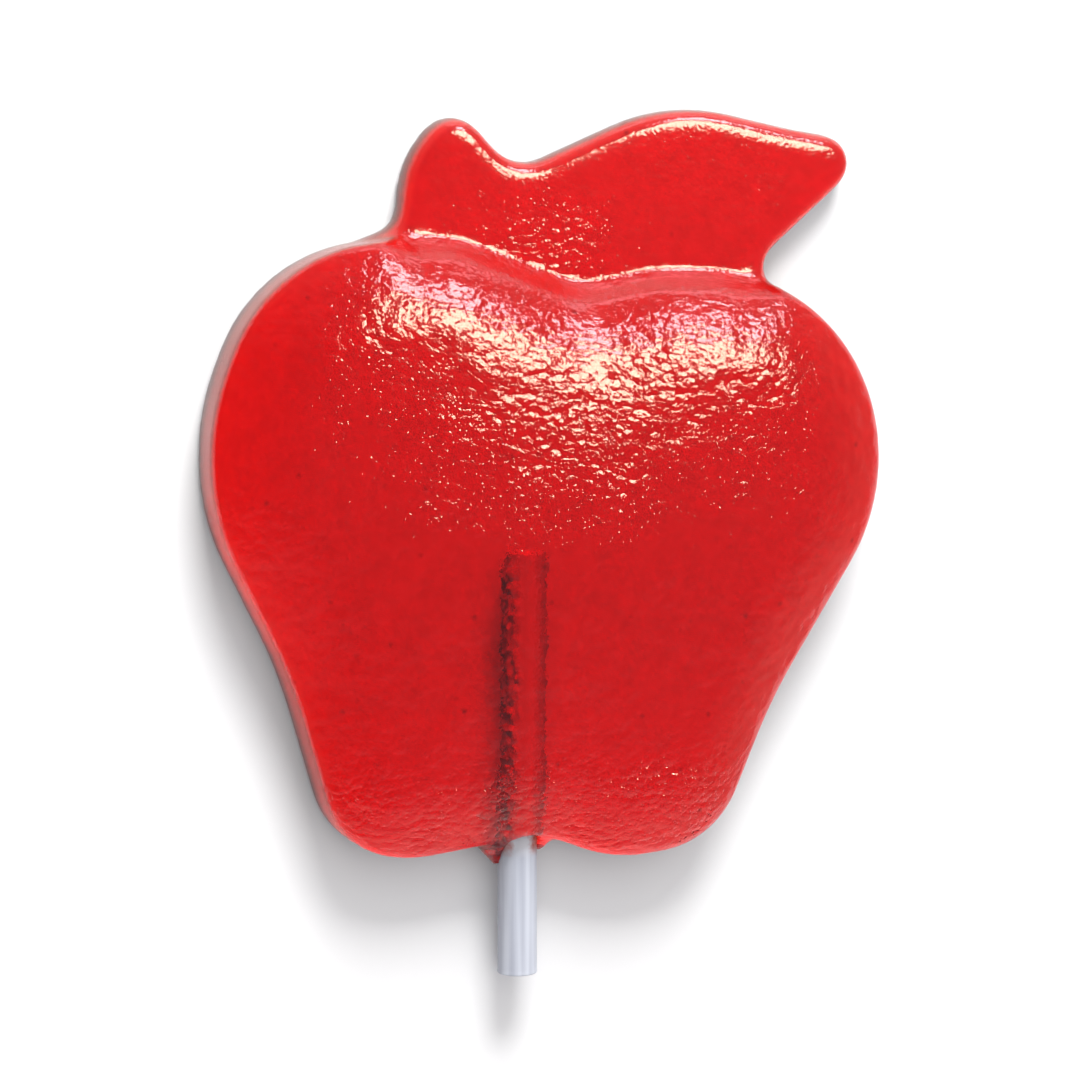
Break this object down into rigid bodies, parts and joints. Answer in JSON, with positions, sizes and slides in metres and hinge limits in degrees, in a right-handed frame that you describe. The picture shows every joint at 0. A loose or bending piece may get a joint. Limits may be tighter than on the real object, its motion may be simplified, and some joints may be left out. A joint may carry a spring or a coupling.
{
  "type": "lollipop",
  "caption": "Flat apple-shaped hard candy lollipop with a domed face, stem and leaf, on a straight round paper stick.",
  "frame": {"origin": "on the flat back, near the middle of the apple", "axes": "+Z out of the domed face, +Y towards the leaf, -Y along the stick to its free end, +X to the right of the face"},
  "size_m": [0.0713, 0.087, 0.0104],
  "materials": {
    "candy": "clear red sugar glass, glossy, finely pebbled face",
    "stick": "tightly rolled white paper, matte"
  },
  "bodies": {
    "root": {"candy": "candy", "stick": "stick"}
  },
  "joints": []
}
